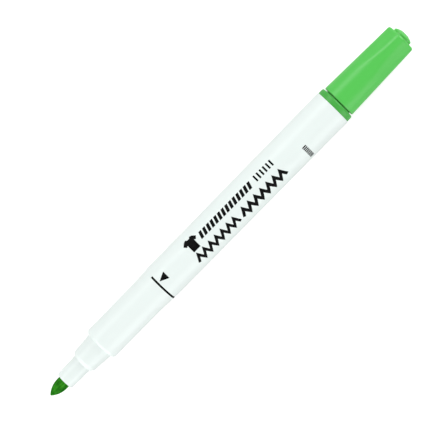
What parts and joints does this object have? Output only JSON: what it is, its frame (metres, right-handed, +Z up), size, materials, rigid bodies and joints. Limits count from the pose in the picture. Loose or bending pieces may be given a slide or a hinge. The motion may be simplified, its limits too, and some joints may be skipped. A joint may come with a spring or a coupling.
{
  "type": "fabric marking pen",
  "caption": "Round fibre-tip fabric marker with a white stepped barrel, a green bullet nib and a tapered green cap posted on the rear end.",
  "frame": {"origin": "middle of the pen's length with the cap posted, straight below its axis, on the surface that the barrel lies on", "axes": "+X along the pen's axis from the nib to the capped rear end, +Z up, with the printed side of the barrel upwards"},
  "size_m": [0.1336, 0.011, 0.011],
  "materials": {
    "barrel_white": "satin gloss moulded",
    "holder_white": "satin moulded",
    "nib_fibre": "ink-soaked bonded fibre",
    "reservoir_fibre": "ink-soaked fibre",
    "wrap_film": "thin film",
    "plug_green": "satin gloss moulded",
    "cap_green": "satin gloss moulded",
    "liner_green": "satin moulded"
  },
  "bodies": {
    "pen": {"barrel": "barrel_white", "nib_holder": "holder_white", "nib": "nib_fibre", "reservoir": "reservoir_fibre", "reservoir_wrap": "wrap_film", "end_plug": "plug_green"},
    "posted_cap": {"cap": "cap_green", "cap_liner": "liner_green"}
  },
  "joints": [
    {"name": "cap_slide", "type": "slide", "parent": "pen", "child": "posted_cap", "axis": [1, 0, 0], "range_m": [0, 0.03]}
  ]
}
